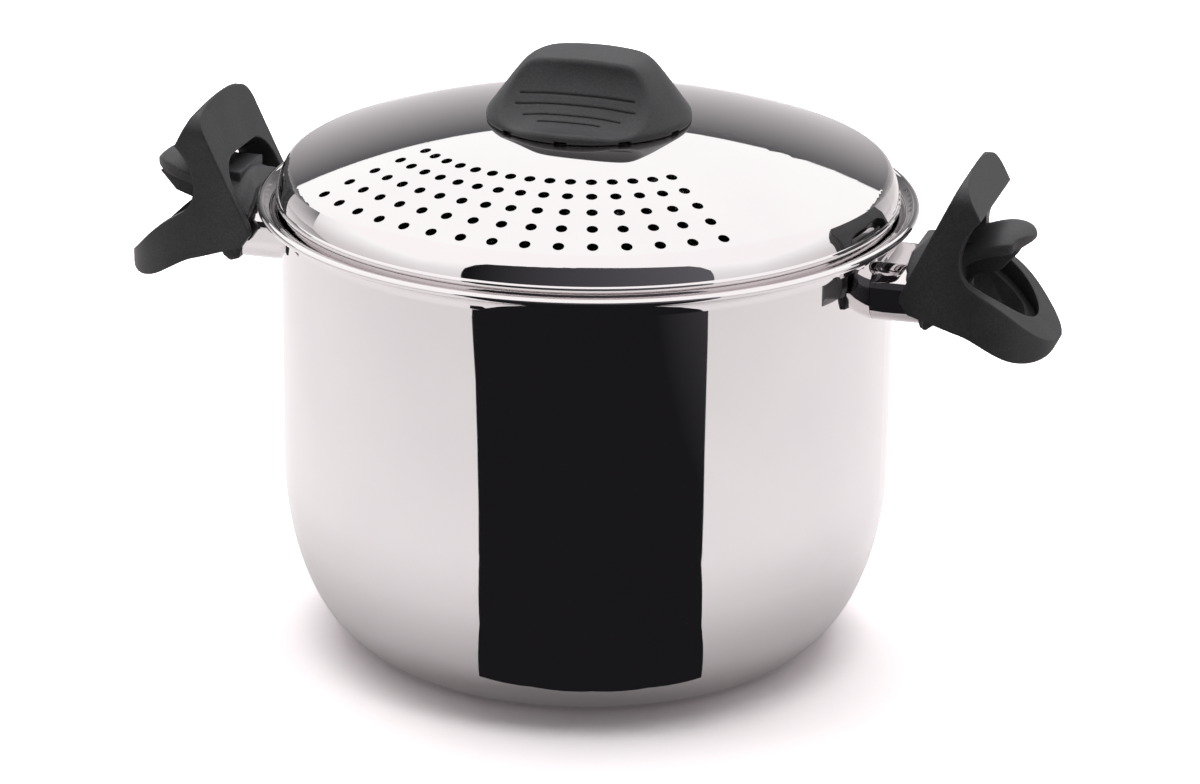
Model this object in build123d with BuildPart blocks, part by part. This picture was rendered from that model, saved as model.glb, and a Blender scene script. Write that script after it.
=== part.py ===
from build123d import *
import math
import os

# Pasta pot with a strainer lid. Millimetres, +Z up, origin on the floor under the pot's axis.
# The right side handle points along +X, and the strainer holes face -Y.

# Pot
wall_radius = 120.0
wall_thickness = 1.0
rim_height = 181.0
belly_height = 75.0
floor_radius = 80.0
bottom_sheet = 1.2
flare_start = 9.0
rim_radius = 129.3
rim_bead = 2.4

# Sandwich base: aluminium core inside a steel cap that continues the belly's curve
base_height = 4.2
cap_sheet = 0.8
core_radius = 84.0
core_step = 0.6

# Lid
lid_seat_radius = 122.3
lid_sheet = 1.0
lid_clearance = 0.3
dome_edge_radius = 118.0
dome_edge_height = 13.2
dome_crown_height = 34.5
dome_fillet = 4.0
hole_radius = 2.15
hole_rows = (69.8, 80.3, 91.0, 101.5, 112.0)
hole_columns = 15
hole_fan = 90.0
fan_turn = -2.4

# Knob
knob_radius = 40.0
knob_height = 24.3
knob_gap = 0.4
scoop_reach = 39.05
scoop_rise = 28.2
scoop_middle = 26.8
scoop_rim_fillet = 2.0
groove_depth = 0.5
groove_width = 0.8
grooves = ((39, 46), (48.5, 48), (59.5, 39), (68, 25))
notch_count = 10
pocket_length = 22.0
pocket_width = 20.0
pocket_height = 8.0
base_plate_radius = 30.0
base_plate_thickness = 1.6
boss_radius = 7.0
insert_radius = 4.5
insert_length = 12.0
knob_screw_radius = 2.5
knob_screw_length = 11.0
screw_head_radius = 4.6
screw_head_height = 2.8
washer_radius = 8.0
washer_thickness = 1.2

# Side handles, in the plane of their long axis: distance from the pot's axis, height from the rim
sleeve_half_width = 21.5
sleeve_top = -11.0
sleeve_bottom = -34.0
sleeve_end_top = 131.5
sleeve_end_bottom = 138.0
sleeve_sheet = 1.0
sleeve_corner = 9.0
grip_clearance = 0.3
tongue_half_width = 7.0
tongue_top = -20.0
tongue_sheet = 3.0
tongue_end = 153.0
flange_half_width = 13.0
flange_height = 15.0
flange_sheet = 1.5
grip_half_width = 21.0
neck_half_width = 23.8
lip_half_width = 17.5
nose_reach = 177.5
barrel_axis = -33.0
core_half_width = 13.0
boss_reach = 10.5
lever_half_width = 28.8
lever_end = 188.8
opening_half_width = 24.3
opening_end = 179.5
opening_corner = 13.0
blade_corner = 7.0
loop_half_width = 19.6
loop_start = 153.0
loop_end = 171.5
swing_reach = 37.3
pivot_reach = 143.0
pivot_drop = -12.0
pin_radius = 2.0
pin_clearance = 0.05
pin_half_length = 26.9
grip_screw_reach = 142.0
grip_screw_seat = -27.0
grip_screw_radius = 2.0
grip_screw_head = 3.6

os.makedirs("parts", exist_ok=True)

pot_colour = Color(0.80, 0.79, 0.79)
steel = Color(0.75, 0.75, 0.75)
black = Color(0.08, 0.08, 0.085)
brass = Color(0.75, 0.6, 0.3)


def save(piece, label, colour):
    """Name one finished piece and write it."""
    piece.label = label
    piece.color = colour
    export_step(piece, f"parts/{label}.step")


def belly_radius(height):
    """Outer radius of the pot's elliptical belly at a height above the floor."""
    rise = (belly_height - height) / belly_height
    return floor_radius + (wall_radius - floor_radius) * math.sqrt(1 - rise**2)


def belly_angle(height):
    """Angle on the belly's ellipse, from its level end downwards, at a height."""
    return -math.degrees(math.asin((belly_height - height) / belly_height))


def dome_height(radius, crown=dome_crown_height):
    """Height above the rim of the lid's spherical dome, outer face."""
    sag = dome_crown_height - dome_edge_height
    sphere = (dome_edge_radius**2 + sag**2) / (2 * sag)
    return crown - sphere + math.sqrt(sphere**2 - radius**2)


# Pot body: straight wall, elliptical belly, flat bottom and a flared pouring rim with a rolled edge
with BuildPart() as pot_body:
    with BuildSketch(Plane.XZ):
        with BuildLine():
            wall_top = rim_height - flare_start
            bead_low = rim_height - rim_bead
            flare_radius = rim_radius - 2.6
            inner_wall = wall_radius - wall_thickness
            Line((0, base_height), (belly_radius(base_height), base_height))
            EllipticalCenterArc(
                (floor_radius, belly_height), wall_radius - floor_radius, belly_height,
                belly_angle(base_height), arc_size=-belly_angle(base_height))
            Line((wall_radius, belly_height), (wall_radius, wall_top))
            TangentArc((wall_radius, wall_top), (flare_radius, bead_low), tangent=(0, 1))
            ThreePointArc(
                (flare_radius, bead_low), (rim_radius, rim_height - rim_bead / 2),
                (flare_radius, rim_height))
            TangentArc((inner_wall, wall_top), (flare_radius, rim_height), tangent=(0, 1))
            Line((inner_wall, wall_top), (inner_wall, belly_height))
            inner_floor = base_height + bottom_sheet
            EllipticalCenterArc(
                (floor_radius, belly_height), inner_wall - floor_radius,
                belly_height - inner_floor, -90, arc_size=90)
            Line((floor_radius, inner_floor), (0, inner_floor))
            Line((0, inner_floor), (0, base_height))
        make_face()
    revolve(axis=Axis.Z)
save(pot_body.part, "pot_body", pot_colour)

# Base core: aluminium disc between the pot's bottom and the cap
with BuildPart() as base_core:
    with BuildSketch(Plane.XY.offset(cap_sheet)):
        Circle(core_radius - core_step)
    extrude(amount=base_height - cap_sheet)
save(base_core.part, "base_core", Color(0.7, 0.71, 0.72))

# Base cap: steel dish round the core, its edge follows the belly down to the floor
with BuildPart() as base_cap:
    with BuildSketch(Plane.XZ):
        with BuildLine():
            cap_edge = EllipticalCenterArc(
                (floor_radius, belly_height), wall_radius - floor_radius, belly_height,
                -90, arc_size=90 + belly_angle(base_height))
            Line(cap_edge @ 1, (core_radius - core_step, base_height))
            Line((core_radius - core_step, base_height), (core_radius - core_step, cap_sheet))
            Line((core_radius - core_step, cap_sheet), (0, cap_sheet))
            Line((0, cap_sheet), (0, 0))
            Line((0, 0), cap_edge @ 0)
        make_face()
    revolve(axis=Axis.Z)
save(base_cap.part, "base_cap", pot_colour)

# Strainer lid: spherical dome, steep shoulder and rolled edge, nested in the flare above a short skirt
with BuildPart() as lid:
    with BuildSketch(Plane.XZ):
        with BuildLine():
            shoulder = (dome_edge_radius, rim_height + dome_edge_height)
            inner_shoulder = (dome_edge_radius - 1.0, rim_height + dome_edge_height - lid_sheet)
            crown = rim_height + dome_crown_height
            half = dome_edge_radius / 2
            flare_run = flare_radius - inner_wall
            flare_bend = (flare_run**2 + flare_start**2) / (2 * flare_run)
            flare_centre = (inner_wall + flare_bend, wall_top)
            seat_bend = flare_bend + lid_clearance
            seat = CenterArc(flare_centre, seat_bend, 180, -38)
            under = CenterArc(flare_centre, seat_bend + lid_sheet, 180, -38)
            ThreePointArc((0, crown), (half, rim_height + dome_height(half)), shoulder)
            ThreePointArc(
                shoulder, (lid_seat_radius - 2, rim_height + 8.4), (lid_seat_radius - 0.6, rim_height + 3.2))
            ThreePointArc(
                (lid_seat_radius - 0.6, rim_height + 3.2), (lid_seat_radius, rim_height + 1.9),
                (lid_seat_radius - 0.6, rim_height + 0.3))
            Line((lid_seat_radius - 0.6, rim_height + 0.3), seat @ 1)
            Line(seat @ 0, under @ 0)
            Line(under @ 1, (lid_seat_radius - 1.9, rim_height + 2.4))
            ThreePointArc(
                (lid_seat_radius - 1.9, rim_height + 2.4), (lid_seat_radius - 3.1, rim_height + 7.7),
                inner_shoulder)
            ThreePointArc(
                inner_shoulder, (half, rim_height + dome_height(half) - lid_sheet),
                (0, crown - lid_sheet))
            Line((0, crown - lid_sheet), (0, crown))
        make_face()
    revolve(axis=Axis.Z)
    rings = lid.edges().filter_by(GeomType.CIRCLE)
    fillet(rings.filter_by(lambda e: abs(e.radius - dome_edge_radius) < 0.01), dome_fillet)
    with BuildSketch(Plane.XY.offset(crown)):
        Circle(knob_screw_radius + 0.2)
        for row in hole_rows:
            with PolarLocations(row, hole_columns, fan_turn - 90 - hole_fan / 2, hole_fan, endpoint=True):
                Circle(hole_radius)
    extrude(amount=-dome_crown_height, mode=Mode.SUBTRACT)
save(lid.part, "lid", pot_colour)


def on_dome(radius, gap):
    """Point of a half section just above the dome."""
    return (radius, rim_height + dome_height(radius) + gap)


def scoop_cutter(depth):
    """Finger scoop of the knob: turned about a line along X in front of it, waisted, with round ends."""
    with BuildPart() as cutter:
        with BuildSketch(Plane.XY.offset(crown + scoop_rise)):
            with BuildLine():
                near = 15 - scoop_reach
                low = 23.6 + depth - scoop_reach
                full = 28.6 + depth - scoop_reach
                waist = 27.5 + depth - scoop_reach
                Spline(
                    (-38.5, near), (-36.8, low), (-28.5, full), (-14, waist),
                    (0, scoop_middle + depth - scoop_reach), (14, waist), (28.5, full), (36.8, low),
                    (38.5, near))
                Polyline((38.5, near), (38.5, -scoop_reach), (-38.5, -scoop_reach), (-38.5, near))
            make_face()
        revolve(axis=Axis((0, -scoop_reach, crown + scoop_rise), (1, 0, 0)))
    return cutter.part


# Finger scoop, and the fine grooves across its face
scoop = scoop_cutter(0)
deeper_scoop = scoop_cutter(groove_depth)
with BuildPart() as scoop_grooves:
    for fall, length in grooves:
        with Locations(Location((0, -scoop_reach, crown + scoop_rise), (-fall, 0, 0))):
            Box(length, 40, groove_width, align=(Align.CENTER, Align.MIN, Align.CENTER))
    add(deeper_scoop, mode=Mode.INTERSECT)

# Knob: turned outline on the dome, scooped front and back for the fingers, cored from below
with BuildPart() as knob_shell:
    with BuildSketch(Plane.XZ):
        with BuildLine():
            top = crown + knob_height
            brim = (knob_radius, top - 25.3)
            Line(on_dome(0, knob_gap), (0, top))
            Spline(
                (0, top), (8, top - 0.1), (16, top - 0.8), (22, top - 2.1), (28, top - 7.6),
                (36, top - 18.5), (39, top - 22.6), brim, tangents=((1, 0), (0, -1)))
            Line(brim, on_dome(knob_radius, knob_gap))
            ThreePointArc(
                on_dome(knob_radius, knob_gap), on_dome(knob_radius / 2, knob_gap), on_dome(0, knob_gap))
        make_face()
    revolve(axis=Axis.Z)
    add(scoop, mode=Mode.SUBTRACT)
    add(scoop.rotate(Axis.Z, 180), mode=Mode.SUBTRACT)
    front_rim = knob_shell.edges().filter_by(lambda e: e.center().Y < -1 and e.center().Z > crown + 2)
    back_rim = knob_shell.edges().filter_by(lambda e: e.center().Y > 1 and e.center().Z > crown + 2)
    fillet(front_rim + back_rim, scoop_rim_fillet)
    add(scoop_grooves.part, mode=Mode.SUBTRACT)
    add(scoop_grooves.part.rotate(Axis.Z, 180), mode=Mode.SUBTRACT)
    with Locations((0, 0, rim_height + dome_height(knob_radius))):
        with PolarLocations(knob_radius, notch_count, 18):
            Box(4, 5, 2.4, mode=Mode.SUBTRACT)
    with BuildSketch(Plane.XY.offset(crown - 4)):
        Circle(base_plate_radius)
    extrude(amount=4 + knob_gap + base_plate_thickness, mode=Mode.SUBTRACT)
    with BuildSketch(Plane.XY.offset(crown)):
        with Locations((-boss_radius - pocket_length / 2, 0), (boss_radius + pocket_length / 2, 0)):
            RectangleRounded(pocket_length, pocket_width, 4)
    extrude(amount=pocket_height, mode=Mode.SUBTRACT)
    with BuildSketch(Plane.XY.offset(crown)):
        Circle(insert_radius)
    extrude(amount=knob_gap + base_plate_thickness + insert_length, mode=Mode.SUBTRACT)
save(knob_shell.part, "knob_shell", black)

# Knob base plate: closes the knob's underside on the dome
with BuildPart() as knob_base:
    with BuildSketch(Plane.XZ):
        with BuildLine():
            plate_radius = base_plate_radius - 0.2
            Line(on_dome(insert_radius + 0.2, 0.1), (insert_radius + 0.2, crown + base_plate_thickness))
            Line(
                (insert_radius + 0.2, crown + base_plate_thickness),
                (plate_radius, crown + base_plate_thickness))
            Line((plate_radius, crown + base_plate_thickness), on_dome(plate_radius, 0.1))
            ThreePointArc(
                on_dome(plate_radius, 0.1), on_dome(plate_radius / 2, 0.1), on_dome(insert_radius + 0.2, 0.1))
        make_face()
    revolve(axis=Axis.Z)
save(knob_base.part, "knob_base", black)

# Brass insert moulded into the knob
with BuildPart() as knob_insert:
    with BuildSketch(Plane.XY.offset(crown + knob_gap)):
        Circle(insert_radius)
        Circle(knob_screw_radius, mode=Mode.SUBTRACT)
    extrude(amount=base_plate_thickness + insert_length)
save(knob_insert.part, "knob_insert", brass)

# Washer under the lid
with BuildPart() as knob_washer:
    washer_top = crown - lid_sheet - 0.1
    with BuildSketch(Plane.XY.offset(washer_top)):
        Circle(washer_radius)
        Circle(knob_screw_radius + 0.1, mode=Mode.SUBTRACT)
    extrude(amount=-washer_thickness)
save(knob_washer.part, "knob_washer", steel)

# Knob screw, up through the lid, with a cross recess in its head
with BuildPart() as knob_screw:
    with BuildSketch(Plane.XY.offset(washer_top - washer_thickness)):
        Circle(knob_screw_radius)
    extrude(amount=knob_screw_length)
    with BuildSketch(Plane.XY.offset(washer_top - washer_thickness)):
        Circle(screw_head_radius)
    extrude(amount=-screw_head_height)
    fillet(knob_screw.faces().sort_by(Axis.Z)[0].edges(), 1.2)
    with BuildSketch(Plane.XY.offset(washer_top - washer_thickness - screw_head_height)):
        Rectangle(4.4, 1.0)
        Rectangle(1.0, 4.4)
    extrude(amount=1.6, mode=Mode.SUBTRACT)
save(knob_screw.part, "knob_screw", steel)


def side(reach, rise):
    """Point of a side handle's section: distance from the pot's axis, height from the rim."""
    return (reach, rim_height + rise)


def save_pair(piece, name, colour):
    """Write the right hand piece and its copy turned half round the pot."""
    copy = piece.rotate(Axis.Z, 180)
    save(piece, f"right_{name}", colour)
    save(copy, f"left_{name}", colour)


# Bracket: curved flange welded to the wall, with a tongue that carries the grip
with BuildPart() as bracket:
    with BuildSketch(Plane.XY.offset(rim_height + tongue_top - tongue_sheet / 2 - flange_height / 2)):
        Circle(wall_radius + flange_sheet)
        Circle(wall_radius + 0.05, mode=Mode.SUBTRACT)
        with Locations((wall_radius, 0)):
            Rectangle(wall_radius, 2 * flange_half_width, mode=Mode.INTERSECT)
    extrude(amount=flange_height)
    with BuildSketch(Plane.XY.offset(rim_height + tongue_top)):
        with Locations(((wall_radius + 1 + tongue_end) / 2, 0)):
            Rectangle(tongue_end - wall_radius - 1, 2 * tongue_half_width)
        with Locations((grip_screw_reach, 0)):
            Circle(grip_screw_radius, mode=Mode.SUBTRACT)
    extrude(amount=-tongue_sheet)
save_pair(bracket.part, "bracket", steel)

# Flame guard: polished oval sleeve over the root of the grip, end cut on the slant
with BuildPart() as flame_guard:
    with BuildSketch(Plane.YZ.offset(wall_radius - 6)):
        with Locations((0, rim_height + (sleeve_top + sleeve_bottom) / 2)):
            RectangleRounded(2 * sleeve_half_width, sleeve_top - sleeve_bottom, sleeve_corner)
            RectangleRounded(
                2 * (sleeve_half_width - sleeve_sheet), sleeve_top - sleeve_bottom - 2 * sleeve_sheet,
                sleeve_corner - sleeve_sheet, mode=Mode.SUBTRACT)
    extrude(amount=sleeve_end_bottom - wall_radius + 6)
    with BuildSketch(Plane.XZ):
        with BuildLine():
            Polyline(
                side(sleeve_end_top, sleeve_top), side(sleeve_end_bottom, sleeve_bottom),
                side(sleeve_end_bottom + 9, sleeve_bottom), side(sleeve_end_bottom + 9, sleeve_top),
                close=True)
        make_face()
    extrude(amount=sleeve_half_width, both=True, mode=Mode.SUBTRACT)
    with BuildSketch(Plane.XY.offset(rim_height + sleeve_bottom)):
        Circle(wall_radius + 0.05)
    extrude(amount=sleeve_top - sleeve_bottom, mode=Mode.SUBTRACT)
save_pair(flame_guard.part, "flame_guard", steel)

# Barrel: rounded upper side of the grip, turned about a line below the handle
with BuildPart() as grip_barrel:
    with BuildSketch(Plane.XZ):
        with BuildLine():
            Polyline(
                side(137, -2), side(wall_radius, -2), side(wall_radius, barrel_axis),
                side(nose_reach + 1, barrel_axis), side(nose_reach + 1, -0.8))
            Spline(
                side(nose_reach + 1, -0.8), side(174, 3.8), side(168, 5.2), side(158, 3),
                side(150, 0.8), side(143.5, -0.6), side(137, -2))
        make_face()
    revolve(axis=Axis((0, 0, rim_height + barrel_axis), (1, 0, 0)))

# Grip: root inside the sleeve, step up over it, broad thumb rest with a round nose
with BuildPart() as grip:
    with BuildSketch(Plane.XZ):
        with BuildLine():
            Polyline(
                side(sleeve_end_bottom, -33), side(sleeve_end_top + 0.4, -10.6), side(132.6, -5.5),
                side(135.5, -3.5), side(143, 1.5), side(150, 8), side(nose_reach, 8),
                side(nose_reach, 0), side(176, -0.6))
            Spline(side(176, -0.6), side(169, -2.5), side(157, -6), side(151, -11.5))
            Polyline(
                side(151, -11.5), side(147.5, -22), side(143.5, -31), side(141, -33),
                side(sleeve_end_bottom, -33))
        make_face()
    extrude(amount=neck_half_width, both=True)
    with BuildSketch(Plane.XY.offset(rim_height + sleeve_bottom)):
        with BuildLine():
            Line((nose_reach - 55, grip_half_width), (136.5, grip_half_width))
            Spline(
                (136.5, grip_half_width), (140, neck_half_width), (148, neck_half_width), (152.6, 19.4),
                (156, 18.4), (162, lip_half_width), tangents=((1, 0), (1, -0.12)))
            Spline(
                (162, lip_half_width), (172, 13.2), (nose_reach, 0), (172, -13.2),
                (162, -lip_half_width), tangents=((1, -0.12), (-1, -0.12)))
            Spline(
                (162, -lip_half_width), (156, -18.4), (152.6, -19.4), (148, -neck_half_width),
                (140, -neck_half_width), (136.5, -grip_half_width), tangents=((-1, -0.12), (-1, 0)))
            Line((136.5, -grip_half_width), (nose_reach - 55, -grip_half_width))
            Line((nose_reach - 55, -grip_half_width), (nose_reach - 55, grip_half_width))
        make_face()
    extrude(amount=50, mode=Mode.INTERSECT)
    with BuildSketch(Plane.XZ):
        with Locations(side(pivot_reach, pivot_drop)):
            Circle(boss_reach)
    extrude(amount=opening_half_width - grip_clearance, both=True)
    add(grip_barrel.part, mode=Mode.INTERSECT)
    with BuildSketch(Plane.XZ):
        with BuildLine():
            Polyline(
                side(140, -20), side(147, -22), side(151, -19), side(157, -13), side(167, -9.5),
                side(173.5, -2), side(160, 0), side(140, 0), close=True)
        make_face()
    extrude(amount=core_half_width, both=True)
    with BuildSketch(Plane.YZ.offset(wall_radius + flange_sheet + 0.4)):
        with Locations((0, rim_height + (sleeve_top + sleeve_bottom) / 2)):
            RectangleRounded(
                2 * (sleeve_half_width - sleeve_sheet - grip_clearance),
                sleeve_top - sleeve_bottom - 2 * (sleeve_sheet + grip_clearance),
                sleeve_corner - sleeve_sheet - grip_clearance)
    extrude(amount=18)
    with BuildSketch(Plane.XZ):
        with Locations(side(pivot_reach, pivot_drop)):
            Circle(pin_radius + pin_clearance)
    extrude(amount=lever_half_width, both=True, mode=Mode.SUBTRACT)
    with BuildSketch(Plane.XY.offset(rim_height + tongue_top + 0.1)):
        with Locations(((wall_radius + tongue_end) / 2, 0)):
            Rectangle(tongue_end - wall_radius + 0.4, 2 * tongue_half_width + 0.2)
    extrude(amount=-tongue_sheet - 0.2, mode=Mode.SUBTRACT)
    with BuildSketch(Plane.XY.offset(rim_height + tongue_top + 4.2)):
        with Locations((grip_screw_reach, 0)):
            Circle(grip_screw_radius + 0.1)
    extrude(amount=-20, mode=Mode.SUBTRACT)
    with BuildSketch(Plane.XY.offset(rim_height + grip_screw_seat + 0.1)):
        with Locations((grip_screw_reach, 0)):
            Circle(grip_screw_head + 0.2)
    extrude(amount=-20, mode=Mode.SUBTRACT)
save_pair(grip.part, "grip", black)

# Hinge pin through the grip, its ends running in the lever's cheeks
with BuildPart() as hinge_pin:
    with BuildSketch(Plane.XZ):
        with Locations(side(pivot_reach, pivot_drop)):
            Circle(pin_radius)
    extrude(amount=pin_half_length, both=True)
save_pair(hinge_pin.part, "hinge_pin", steel)

# Grip screw: up through the grip's root into the tongue
with BuildPart() as grip_screw:
    with BuildSketch(Plane.XY.offset(rim_height + grip_screw_seat)):
        with Locations((grip_screw_reach, 0)):
            Circle(grip_screw_radius)
    extrude(amount=tongue_top + 4 - grip_screw_seat)
    with BuildSketch(Plane.XY.offset(rim_height + grip_screw_seat)):
        with Locations((grip_screw_reach, 0)):
            Circle(grip_screw_head)
    extrude(amount=-2.4)
    fillet(grip_screw.faces().sort_by(Axis.Z)[0].edges(), 0.9)
    with BuildSketch(Plane.XY.offset(rim_height + grip_screw_seat - 2.4)):
        with Locations((grip_screw_reach, 0)):
            Rectangle(3.4, 0.8)
            Rectangle(0.8, 3.4)
    extrude(amount=1.3, mode=Mode.SUBTRACT)
save_pair(grip_screw.part, "grip_screw", steel)

# Space inside the lever: arched window in the blade, open between the cheeks, down to the loop's ledge
with BuildPart() as lever_window:
    with BuildSketch(Plane.XZ):
        with BuildLine():
            Polyline(
                side(115, 15.2), side(182, -3.9), side(182, -38.2), side(172, -31), side(156, -19.5),
                side(loop_start, -17.3), side(loop_start, -60), side(115, -60), close=True)
        make_face()
    extrude(amount=opening_half_width, both=True)
    with BuildSketch(Plane.XY.offset(rim_height - 60)):
        with Locations((opening_end - 60, 0)):
            SlotOverall(120, 2 * opening_half_width)
    extrude(amount=80, mode=Mode.INTERSECT)
    roof = lever_window.faces().sort_by(Axis.Z)[-1]
    fillet(roof.edges().filter_by(lambda e: abs(e.center().Y) > 1), opening_corner)

# Swing room: the path of the thumb rest through the loop as the lever turns on its pin
with BuildPart() as swing_room:
    with BuildSketch(Plane.XY.offset(rim_height + pivot_drop)):
        with BuildLine():
            Spline(
                (pivot_reach + 14, 19.4), (pivot_reach + 22.6, 18.1), (pivot_reach + 32.7, 13.6),
                (pivot_reach + swing_reach, 0), (pivot_reach + 32.7, -13.6), (pivot_reach + 22.6, -18.1),
                (pivot_reach + 14, -19.4))
            Polyline(
                (pivot_reach + 14, -19.4), (pivot_reach, -19.4), (pivot_reach, 19.4),
                (pivot_reach + 14, 19.4))
        make_face()
    revolve(axis=Axis((pivot_reach, 0, rim_height + pivot_drop), (0, 1, 0)), revolution_arc=80)

# Lever: blade that swings over the lid, two cheeks on the pin, and a ring shaped loop for the fingers
with BuildPart() as lever:
    with BuildSketch(Plane.XZ):
        with BuildLine():
            Polyline(side(131.5, -18), side(153.5, 28.6), side(161.5, 13.5))
            Spline(
                side(161.5, 13.5), side(155.6, 5), side(153.8, -3.5), side(156.4, -11.4), side(162, -15.7),
                side(171, -22), side(181, -31.6), side(188.6, -38.4))
            Spline(side(188.6, -38.4), side(186.4, -42), side(179, -43.2), side(165, -37.3), side(153, -31.8))
            Polyline(
                side(153, -31.8), side(141, -28), side(134.5, -26), side(131, -21), side(131.5, -18))
        make_face()
    extrude(amount=lever_half_width, both=True)
    with BuildSketch(Plane.XY.offset(rim_height - 60)):
        with Locations((lever_end - 60, 0)):
            SlotOverall(120, 2 * lever_half_width)
    extrude(amount=100, mode=Mode.INTERSECT)
    with BuildSketch(Plane.YZ.offset(wall_radius)):
        with BuildLine():
            blade_side = rim_height + 24
            ThreePointArc((-lever_half_width, blade_side), (0, rim_height + 28.4), (lever_half_width, blade_side))
            Polyline(
                (lever_half_width, blade_side), (lever_half_width, rim_height - 60),
                (-lever_half_width, rim_height - 60), (-lever_half_width, blade_side))
        make_face()
        fillet(vertices().group_by(Axis.Z)[-1], blade_corner)
    extrude(amount=80, mode=Mode.INTERSECT)
    add(lever_window.part, mode=Mode.SUBTRACT)
    with BuildSketch(Plane.XY.offset(rim_height - 60)):
        with Locations((loop_end - 40, 0)):
            SlotOverall(80, 2 * loop_half_width)
    extrude(amount=46, mode=Mode.SUBTRACT)
    add(swing_room.part, mode=Mode.SUBTRACT)
    with BuildSketch(Plane.XZ):
        with Locations(side(pivot_reach, pivot_drop)):
            Circle(pin_radius + pin_clearance)
    extrude(amount=pin_half_length + 0.4, both=True, mode=Mode.SUBTRACT)
save_pair(lever.part, "lever", black)
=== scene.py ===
import math

import bpy
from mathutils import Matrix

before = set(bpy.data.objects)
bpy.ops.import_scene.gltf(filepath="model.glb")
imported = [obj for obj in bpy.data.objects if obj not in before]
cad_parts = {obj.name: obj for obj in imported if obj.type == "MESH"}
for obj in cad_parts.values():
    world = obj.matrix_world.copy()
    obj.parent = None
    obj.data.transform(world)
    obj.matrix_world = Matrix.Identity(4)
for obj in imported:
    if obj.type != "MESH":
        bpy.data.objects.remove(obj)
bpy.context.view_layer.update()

bl_info = {
    "name": "Pasta pot with strainer lid",
    "version": (1, 0, 0),
    "blender": (4, 5, 0),
    "location": "3D View > Sidebar > Pasta pot",
    "description": "Finishes and studio of a pasta pot with a strainer lid",
    "category": "Object",
}

# Lengths are in metres. +Z is up, the right-hand handle points along +X and the strainer holes face -Y.
# Degrees from -Y towards +X.
CAMERA_TURN = 16.0
FLAG_TURN = 18.6
# Half sizes, distances from the pot's axis and heights of the studio, as seen from the camera's side.
FLOOR_REACH = 4.0
FLAG_LIFT = 0.0006
CARD_LIFT = 0.001
CARD_REACH = 2.8
CARD_OVERLAP = 0.05
UPRIGHT_AHEAD = 1.35
SWEEP_AHEAD = 1.5
SWEEP_TOP = 0.95
BAND_BEHIND = 1.3
WHITE_BEHIND = 1.32
WHITE_TOP = 2.7
SOFTBOX_SIDE = 1.8

POLISHED = ["pot_body", "base_cap", "lid", "right_flame_guard", "left_flame_guard"]
MOULDED = ["knob_shell", "knob_base", "right_grip", "left_grip", "right_lever", "left_lever"]
PLATED = ["knob_screw", "knob_washer", "right_grip_screw", "left_grip_screw"]
PRESSED = ["right_bracket", "left_bracket", "right_hinge_pin", "left_hinge_pin"]


def linear(hex_colour):
    """Turn an sRGB hex colour into the linear colour, with full alpha, that Blender's sockets take."""
    parts = [int(hex_colour[i:i + 2], 16) / 255 for i in (0, 2, 4)]
    return tuple(c / 12.92 if c <= 0.04045 else ((c + 0.055) / 1.055) ** 2.4 for c in parts) + (1.0,)


def add_node(tree, kind, settings=None, values=None, links=None):
    """Add one node, set its own settings and unlinked inputs, and link the rest."""
    node = tree.nodes.new(kind)
    for name, value in (settings or {}).items():
        setattr(node, name, value)
    for name, value in (values or {}).items():
        node.inputs[name].default_value = value
    for name, socket in (links or {}).items():
        tree.links.new(socket, node.inputs[name])
    return node


def new_material(name):
    """Start a material with an empty node tree, and return it, its tree and its output node."""
    material = bpy.data.materials.new(name)
    material.use_nodes = True
    tree = material.node_tree
    tree.nodes.clear()
    return material, tree, add_node(tree, "ShaderNodeOutputMaterial")


def dress(nodes, material):
    """Give CAD nodes a material in every slot."""
    for name in nodes:
        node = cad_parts[name]
        for slot in node.material_slots:
            slot.material = material


def polished_stainless(name, colour, light, roughness):
    """Mirror-polished 18/10 stainless steel, buffed as it turns: reflections show fine rings and a faint haze."""
    material, tree, output = new_material(name)
    place = add_node(tree, "ShaderNodeTexCoord").outputs["Object"]
    # Buffing haze: clouds about 50 mm across that dull the mirror a little.
    haze = add_node(tree, "ShaderNodeTexNoise", values={"Scale": 20.0, "Detail": 3.0}, links={"Vector": place})
    dull = add_node(
        tree, "ShaderNodeMapRange", values={"To Min": roughness * 0.6, "To Max": roughness * 1.7},
        links={"Value": haze.outputs["Fac"]})
    tint = add_node(
        tree, "ShaderNodeMix", settings={"data_type": "RGBA"}, links={"Factor": haze.outputs["Fac"]})
    tint.inputs["A"].default_value = linear(colour)
    tint.inputs["B"].default_value = linear(light)
    # Buffing rings, really about 0.1 mm apart, drawn at 1.25 mm so that they show.
    rings = add_node(tree, "ShaderNodeMapping", values={"Scale": (6.0, 6.0, 800.0)}, links={"Vector": place})
    lines = add_node(
        tree, "ShaderNodeTexNoise", values={"Scale": 1.0, "Detail": 2.0},
        links={"Vector": rings.outputs["Vector"]})
    relief = add_node(
        tree, "ShaderNodeBump", values={"Strength": 0.008, "Distance": 0.0001},
        links={"Height": lines.outputs["Fac"]})
    shader = add_node(
        tree, "ShaderNodeBsdfPrincipled", values={"Metallic": 1.0},
        links={
            "Base Color": tint.outputs["Result"], "Roughness": dull.outputs["Result"],
            "Normal": relief.outputs["Normal"]})
    tree.links.new(shader.outputs["BSDF"], output.inputs["Surface"])
    return material


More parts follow.
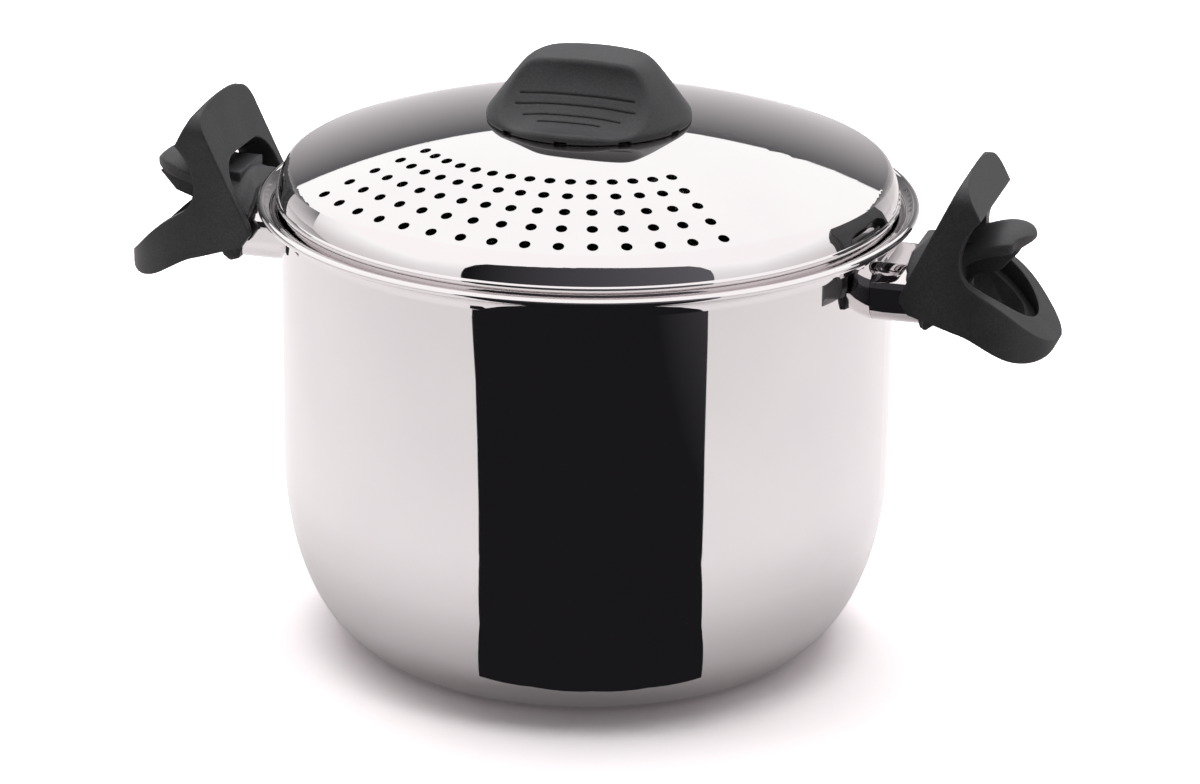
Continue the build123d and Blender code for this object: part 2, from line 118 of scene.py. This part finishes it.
def moulded_phenolic(name, colour, light, roughness):
    """Black phenolic moulding with mineral filler: satin skin with a fine grain and paler specks."""
    material, tree, output = new_material(name)
    place = add_node(tree, "ShaderNodeTexCoord").outputs["Object"]
    # Filler grain, about 0.2 mm, drawn at 0.7 mm so that it shows.
    grain = add_node(tree, "ShaderNodeTexNoise", values={"Scale": 1400.0, "Detail": 2.0}, links={"Vector": place})
    # Flow marks of the moulding, about 25 mm long.
    flow = add_node(tree, "ShaderNodeTexNoise", values={"Scale": 40.0, "Detail": 2.0}, links={"Vector": place})
    mixed = add_node(
        tree, "ShaderNodeMath", settings={"operation": "MULTIPLY"},
        links={0: grain.outputs["Fac"], 1: flow.outputs["Fac"]})
    spread = add_node(
        tree, "ShaderNodeMapRange", values={"From Min": 0.12, "From Max": 0.42},
        links={"Value": mixed.outputs["Value"]})
    shade = add_node(
        tree, "ShaderNodeMix", settings={"data_type": "RGBA"}, links={"Factor": spread.outputs["Result"]})
    shade.inputs["A"].default_value = linear(colour)
    shade.inputs["B"].default_value = linear(light)
    dull = add_node(
        tree, "ShaderNodeMapRange", values={"To Min": roughness - 0.07, "To Max": roughness + 0.07},
        links={"Value": flow.outputs["Fac"]})
    # Mould radii of about 1.5 mm along the edges.
    radii = add_node(tree, "ShaderNodeBevel", settings={"samples": 8}, values={"Radius": 0.0015})
    relief = add_node(
        tree, "ShaderNodeBump", values={"Strength": 0.25, "Distance": 0.0001},
        links={"Height": grain.outputs["Fac"], "Normal": radii.outputs["Normal"]})
    shader = add_node(
        tree, "ShaderNodeBsdfPrincipled", values={"IOR": 1.5, "Specular IOR Level": 0.3},
        links={
            "Base Color": shade.outputs["Result"], "Roughness": dull.outputs["Result"],
            "Normal": relief.outputs["Normal"]})
    tree.links.new(shader.outputs["BSDF"], output.inputs["Surface"])
    return material


def small_metal(name, colour, mark, roughness, stretch):
    """Unpolished metal of the small pieces: drawn, pressed, turned or plated, with the marks that this leaves."""
    material, tree, output = new_material(name)
    place = add_node(tree, "ShaderNodeTexCoord").outputs["Object"]
    along = add_node(tree, "ShaderNodeMapping", values={"Scale": stretch}, links={"Vector": place})
    marks = add_node(
        tree, "ShaderNodeTexNoise", values={"Scale": 1.0, "Detail": 3.0},
        links={"Vector": along.outputs["Vector"]})
    shade = add_node(
        tree, "ShaderNodeMix", settings={"data_type": "RGBA"}, links={"Factor": marks.outputs["Fac"]})
    shade.inputs["A"].default_value = linear(colour)
    shade.inputs["B"].default_value = linear(mark)
    dull = add_node(
        tree, "ShaderNodeMapRange", values={"To Min": roughness - 0.08, "To Max": roughness + 0.12},
        links={"Value": marks.outputs["Fac"]})
    relief = add_node(
        tree, "ShaderNodeBump", values={"Strength": 0.2, "Distance": 0.00005},
        links={"Height": marks.outputs["Fac"]})
    shader = add_node(
        tree, "ShaderNodeBsdfPrincipled", values={"Metallic": 1.0},
        links={
            "Base Color": shade.outputs["Result"], "Roughness": dull.outputs["Result"],
            "Normal": relief.outputs["Normal"]})
    tree.links.new(shader.outputs["BSDF"], output.inputs["Surface"])
    return material


def paper(name, colour, white, burn, lift):
    """Matt studio paper. Away from the pot it is burnt out to white where it is seen, and lifted in mirrors; near
    the pot it is painted darker, both where seen and in mirrors, as painted shade that deepens the contact shadow.
    """
    material, tree, output = new_material(name)
    place = add_node(tree, "ShaderNodeTexCoord").outputs["Object"]
    # Tooth of the paper, about 0.2 mm, drawn at 1.1 mm so that it shows.
    tooth = add_node(tree, "ShaderNodeTexNoise", values={"Scale": 900.0, "Detail": 2.0}, links={"Vector": place})
    relief = add_node(
        tree, "ShaderNodeBump", values={"Strength": 0.05, "Distance": 0.0002},
        links={"Height": tooth.outputs["Fac"]})
    ray = add_node(tree, "ShaderNodeLightPath")
    away = add_node(tree, "ShaderNodeVectorMath", settings={"operation": "LENGTH"}, links={0: place})
    # Exposure of the paper where it is seen, with painted shade: it is painted darker under the belly, deepening
    # the contact shadow.
    burn_with_painted_shade = add_node(
        tree, "ShaderNodeMapRange",
        values={"From Min": 0.088, "From Max": 0.118, "To Min": burn * 0.72, "To Max": burn},
        links={"Value": away.outputs["Value"]})
    seen_exposure_with_painted_shade = add_node(
        tree, "ShaderNodeMix", settings={"data_type": "FLOAT"},
        links={"Factor": ray.outputs["Is Camera Ray"], "B": burn_with_painted_shade.outputs["Result"]})
    seen_exposure_with_painted_shade.inputs["A"].default_value = 1.0
    paper_colour_with_painted_shade = add_node(
        tree, "ShaderNodeVectorMath", settings={"operation": "SCALE"}, links={"Scale": seen_exposure_with_painted_shade.outputs["Result"]})
    paper_colour_with_painted_shade.inputs[0].default_value = linear(colour)[:3]
    matt = add_node(
        tree, "ShaderNodeBsdfDiffuse",
        links={"Color": paper_colour_with_painted_shade.outputs["Vector"], "Normal": relief.outputs["Normal"]})
    # White added in mirrors, growing from the base outwards, so that the floor near the base shows painted shade
    # in reflections.
    mirrored_lift_with_painted_shade = add_node(
        tree, "ShaderNodeMapRange", values={"From Min": 0.07, "From Max": 0.17, "To Max": lift},
        links={"Value": away.outputs["Value"]})
    mirrored = add_node(
        tree, "ShaderNodeMath", settings={"operation": "MULTIPLY"},
        links={0: ray.outputs["Is Glossy Ray"], 1: mirrored_lift_with_painted_shade.outputs["Result"]})
    # White added where the paper is seen far from the pot, so that it joins the surroundings.
    far_white = add_node(
        tree, "ShaderNodeMapRange", values={"From Min": 0.35, "From Max": 1.2},
        links={"Value": away.outputs["Value"]})
    strength = add_node(
        tree, "ShaderNodeMix", settings={"data_type": "FLOAT"},
        links={
            "Factor": ray.outputs["Is Camera Ray"], "A": mirrored.outputs["Value"],
            "B": far_white.outputs["Result"]})
    glow = add_node(
        tree, "ShaderNodeEmission", values={"Color": linear(white)},
        links={"Strength": strength.outputs["Result"]})
    both = add_node(
        tree, "ShaderNodeAddShader", links={0: matt.outputs["BSDF"], 1: glow.outputs["Emission"]})
    tree.links.new(both.outputs["Shader"], output.inputs["Surface"])
    return material


def card_finish(name, first, last, start, end, axis="Z", strength=1.0):
    """Glowing card that only mirrors see: one grey where its axis reads start, another where it reads end."""
    material, tree, output = new_material(name)
    place = add_node(tree, "ShaderNodeTexCoord").outputs["Object"]
    level = add_node(tree, "ShaderNodeSeparateXYZ", links={"Vector": place})
    rise = add_node(
        tree, "ShaderNodeMapRange", values={"From Min": start, "From Max": end},
        links={"Value": level.outputs[axis]})
    shade = add_node(
        tree, "ShaderNodeMix", settings={"data_type": "RGBA"}, links={"Factor": rise.outputs["Result"]})
    shade.inputs["A"].default_value = linear(first)
    shade.inputs["B"].default_value = linear(last)
    glow = add_node(
        tree, "ShaderNodeEmission", values={"Strength": strength}, links={"Color": shade.outputs["Result"]})
    tree.links.new(glow.outputs["Emission"], output.inputs["Surface"])
    return material


def mirror_only(card):
    """Hide a card from everything but reflections."""
    card.visible_camera = False
    card.visible_diffuse = False
    card.visible_shadow = False
    card.visible_transmission = False


def card_from(name, points, faces, material, turn=CAMERA_TURN):
    """A flat studio card. Its points are given as seen from the camera's side: x to the right, y away from it."""
    mesh = bpy.data.meshes.new(name)
    mesh.from_pydata(points, [], faces)
    mesh.materials.append(material)
    card = bpy.data.objects.new(name, mesh)
    card.rotation_euler.z = math.radians(turn)
    bpy.context.scene.collection.objects.link(card)
    return card


class PotFinish(bpy.types.PropertyGroup):
    """Colours and gloss of the pot's materials."""

    steel: bpy.props.StringProperty(name="Steel", description="Polished steel, sRGB hex", default="DEDADB")
    steel_light: bpy.props.StringProperty(
        name="Steel haze", description="Paler clouds in the polish, sRGB hex", default="E6E3E3")
    steel_roughness: bpy.props.FloatProperty(
        name="Steel roughness", description="Roughness of the mirror polish", default=0.022, min=0.0, max=1.0)
    phenolic: bpy.props.StringProperty(name="Handles", description="Black moulding, sRGB hex", default="323234")
    phenolic_light: bpy.props.StringProperty(
        name="Handle specks", description="Paler filler in the moulding, sRGB hex", default="454547")
    phenolic_roughness: bpy.props.FloatProperty(
        name="Handle roughness", description="Roughness of the moulded skin", default=0.45, min=0.0, max=1.0)


class PotStage(bpy.types.PropertyGroup):
    """Floor, cards, lamp and camera."""

    floor: bpy.props.StringProperty(name="Floor", description="Studio paper, sRGB hex", default="ECE8E9")
    white: bpy.props.StringProperty(
        name="White", description="White of the surroundings, sRGB hex", default="FFFCFD")
    floor_burn: bpy.props.FloatProperty(
        name="Floor burn", description="Exposure of the floor where the camera sees it", default=2.3, min=0.0)
    floor_lift: bpy.props.FloatProperty(
        name="Floor lift", description="White added where the floor is mirrored", default=0.25, min=0.0)
    lens: bpy.props.FloatProperty(
        name="Lens", description="Focal length on a 36 mm wide sensor, mm", default=138.04, min=10.0)
    band_top: bpy.props.FloatProperty(
        name="Band top", description="Height of the grey band behind the pot", default=0.76, min=0.0,
        unit="LENGTH")
    softbox: bpy.props.FloatProperty(
        name="Softbox", description="Power of the overhead softbox", default=28.0, min=0.0, unit="POWER")
    mirrored_white: bpy.props.FloatProperty(
        name="Mirrored white", description="Strength of the white surroundings in mirrors", default=1.24,
        min=0.0)
    fill: bpy.props.FloatProperty(
        name="Fill", description="Strength of the even light from all round", default=0.15, min=0.0)


class POT_OT_steel(bpy.types.Operator):
    """Give the pot, lid, base cap and flame guards their mirror polish"""

    bl_idname = "pasta_pot.steel"
    bl_label = "Polish the steel"

    def execute(self, context):
        finish = context.scene.pot_finish
        dress(POLISHED, polished_stainless(
            "mirror_polished_stainless", finish.steel, finish.steel_light, finish.steel_roughness))
        return {"FINISHED"}


class POT_OT_handles(bpy.types.Operator):
    """Give the knob, grips and levers their moulded black skin"""

    bl_idname = "pasta_pot.handles"
    bl_label = "Finish the mouldings"

    def execute(self, context):
        finish = context.scene.pot_finish
        dress(MOULDED, moulded_phenolic(
            "moulded_black_phenolic", finish.phenolic, finish.phenolic_light, finish.phenolic_roughness))
        return {"FINISHED"}


class POT_OT_fittings(bpy.types.Operator):
    """Finish the brackets, pins, screws, insert and the core of the base"""

    bl_idname = "pasta_pot.fittings"
    bl_label = "Finish the small metal"

    def execute(self, context):
        # Pressed sheet keeps its rolling marks, 17 mm long along X and drawn 0.7 mm apart so that they show.
        dress(PRESSED, small_metal("pressed_stainless", "B9B7B4", "CBC9C6", 0.3, (60.0, 1500.0, 1500.0)))
        # Zinc plating has soft, slightly blue clouds of about 2 mm.
        dress(PLATED, small_metal("zinc_plated_steel", "B4B8BC", "CDD0D2", 0.32, (500.0, 500.0, 500.0)))
        # Turned brass shows its turning rings, 0.4 mm apart.
        dress(["knob_insert"], small_metal("turned_brass", "C9A35A", "E0BE7A", 0.25, (100.0, 100.0, 2500.0)))
        # The pressed aluminium disc is matt, with a grain of about 1.4 mm.
        dress(["base_core"], small_metal("pressed_aluminium", "C4C5C7", "D6D7D8", 0.45, (700.0, 700.0, 300.0)))
        return {"FINISHED"}


class POT_OT_stage(bpy.types.Operator):
    """Set up the floor, the cards, the lamp and the camera"""

    bl_idname = "pasta_pot.stage"
    bl_label = "Set up the studio"

    def execute(self, context):
        stage = context.scene.pot_stage
        corners = [(-FLOOR_REACH, -FLOOR_REACH, 0), (FLOOR_REACH, -FLOOR_REACH, 0),
                   (FLOOR_REACH, FLOOR_REACH, 0), (-FLOOR_REACH, FLOOR_REACH, 0)]
        card_from(
            "floor", corners, [(0, 1, 2, 3)],
            paper("studio_paper", stage.floor, stage.white, stage.floor_burn, stage.floor_lift))

        # Black flag in front, on the floor from under the belly outwards: its near edge as across and ahead, then
        # left, right and ahead of its long edges, which the wall mirrors as the sides of the black shape.
        near = [(-0.0515, -0.0948), (-0.027, -0.1013), (-0.001, -0.1035), (0.024, -0.1015), (0.048, -0.0952)]
        points = [(across, ahead, FLAG_LIFT) for across, ahead in near]
        edges = [(0.0785, 0.0727, 0.135), (0.16, 0.1477, 0.235), (0.21, 0.198, 0.288), (0.266, 0.248, 0.343),
                 (0.326, 0.3, 0.398), (0.398, 0.352, 0.452), (1.165, 1.165, 1.35)]
        for left, right, ahead in edges:
            points += [(-left, -ahead, FLAG_LIFT), (right, -ahead, FLAG_LIFT)]
        strips = [(i, i + 1, i + 3, i + 2) for i in range(len(near), len(points) - 2, 2)]
        mirror_only(card_from(
            "front_flag", points, [(0, 1, 2, 3, 4, 6, 5)] + strips,
            card_finish("black_flag_card", "1D1C1F", "464548", 0.21, 0.45, axis="X"), FLAG_TURN))

        # Its upright part below the camera, rounded at the ends.
        outline = [(-1.1, 0.0), (1.1, 0.0), (1.26, 0.12), (1.31, 0.35), (1.28, 0.6), (1.15, 0.78), (1.0, 0.86),
                   (-1.0, 0.86), (-1.15, 0.78), (-1.28, 0.6), (-1.31, 0.35), (-1.26, 0.12)]
        mirror_only(card_from(
            "front_flag_upright", [(across, -UPRIGHT_AHEAD, up) for across, up in outline],
            [tuple(range(len(outline)))], card_finish("charcoal_card", "18171A", "66656A", -1.2, 1.2, axis="X")))

        # Grey sweep behind the flag and round the sides, mirrored in the lid's shoulder.
        bend = [(-CARD_REACH, BAND_BEHIND), (-CARD_REACH, -SWEEP_AHEAD), (CARD_REACH, -SWEEP_AHEAD),
                (CARD_REACH, BAND_BEHIND)]
        mirror_only(card_from(
            "front_sweep", [(x, y, CARD_LIFT) for x, y in bend] + [(x, y, SWEEP_TOP) for x, y in bend],
            [(0, 1, 5, 4), (1, 2, 6, 5), (2, 3, 7, 6)],
            card_finish("grey_sweep_card", "D2CECF", "FFFFFF", 0.05, 0.9, strength=1.22)))

        # Grey band behind, from the floor up to where the lid turns white, and a white card above it.
        top = stage.band_top
        mirror_only(card_from(
            "back_band",
            [(-CARD_REACH, BAND_BEHIND, CARD_LIFT), (CARD_REACH, BAND_BEHIND, CARD_LIFT),
             (CARD_REACH, BAND_BEHIND, top), (-CARD_REACH, BAND_BEHIND, top)],
            [(0, 1, 2, 3)], card_finish("grey_band_card", "E5E1E2", "5E5E60", 0.0, top)))
        white = card_finish(
            "white_reflector_card", "FFFFFF", "FFFFFF", 0.0, WHITE_TOP, strength=stage.mirrored_white)
        mirror_only(card_from(
            "white_card",
            [(-CARD_REACH, WHITE_BEHIND, top - CARD_OVERLAP), (CARD_REACH, WHITE_BEHIND, top - CARD_OVERLAP),
             (CARD_REACH, WHITE_BEHIND, WHITE_TOP), (-CARD_REACH, WHITE_BEHIND, WHITE_TOP)],
            [(0, 1, 2, 3)], white))

        world = bpy.data.worlds.new("even_white")
        world.use_nodes = True
        tree = world.node_tree
        tree.nodes.clear()
        ray = add_node(tree, "ShaderNodeLightPath")
        # White where it is seen, as bright as the white card where it is mirrored, and dim on the object.
        seen = add_node(
            tree, "ShaderNodeMath", settings={"operation": "MULTIPLY_ADD"}, values={1: stage.mirrored_white},
            links={0: ray.outputs["Is Glossy Ray"], 2: ray.outputs["Is Camera Ray"]})
        strength = add_node(
            tree, "ShaderNodeMath", settings={"operation": "MAXIMUM"}, values={1: stage.fill},
            links={0: seen.outputs["Value"]})
        surround = add_node(
            tree, "ShaderNodeBackground", values={"Color": linear(stage.white)},
            links={"Strength": strength.outputs["Value"]})
        output = add_node(tree, "ShaderNodeOutputWorld")
        tree.links.new(surround.outputs["Background"], output.inputs["Surface"])
        context.scene.world = world

        lamp = bpy.data.lights.new("overhead_softbox", "AREA")
        lamp.shape = "RECTANGLE"
        lamp.size = SOFTBOX_SIDE
        lamp.size_y = SOFTBOX_SIDE
        lamp.energy = stage.softbox
        softbox = bpy.data.objects.new("overhead_softbox", lamp)
        softbox.location = (-0.096, 0.336, 1.5)
        softbox.visible_glossy = False
        context.scene.collection.objects.link(softbox)

        camera_data = bpy.data.cameras.new("camera")
        camera_data.lens = stage.lens
        camera_data.sensor_width = 36.0
        camera_data.clip_end = 50.0
        camera = bpy.data.objects.new("camera", camera_data)
        camera.location = (0.47338, -1.65088, 0.71999)
        camera.rotation_euler = [math.radians(a) for a in (70.134, -0.5682, 16.0269)]
        context.scene.collection.objects.link(camera)
        context.scene.camera = camera
        context.scene.view_settings.view_transform = "Standard"
        return {"FINISHED"}


class POT_PT_panel(bpy.types.Panel):
    """Lists the steps in the sidebar"""

    bl_label = "Pasta pot"
    bl_space_type = "VIEW_3D"
    bl_region_type = "UI"
    bl_category = "Pasta pot"

    def draw(self, context):
        for step in STEPS:
            self.layout.operator(step.bl_idname)
        for group in (context.scene.pot_finish, context.scene.pot_stage):
            for name in group.__annotations__:
                self.layout.prop(group, name)


STEPS = (POT_OT_steel, POT_OT_handles, POT_OT_fittings, POT_OT_stage)
CLASSES = (PotFinish, PotStage) + STEPS + (POT_PT_panel,)


def register():
    for cls in CLASSES:
        bpy.utils.register_class(cls)
    bpy.types.Scene.pot_finish = bpy.props.PointerProperty(type=PotFinish)
    bpy.types.Scene.pot_stage = bpy.props.PointerProperty(type=PotStage)


def unregister():
    del bpy.types.Scene.pot_finish
    del bpy.types.Scene.pot_stage
    for cls in reversed(CLASSES):
        bpy.utils.unregister_class(cls)


def main():
    register()
    bpy.ops.pasta_pot.steel()
    bpy.ops.pasta_pot.handles()
    bpy.ops.pasta_pot.fittings()
    bpy.ops.pasta_pot.stage()


if __name__ == "__main__":
    main()
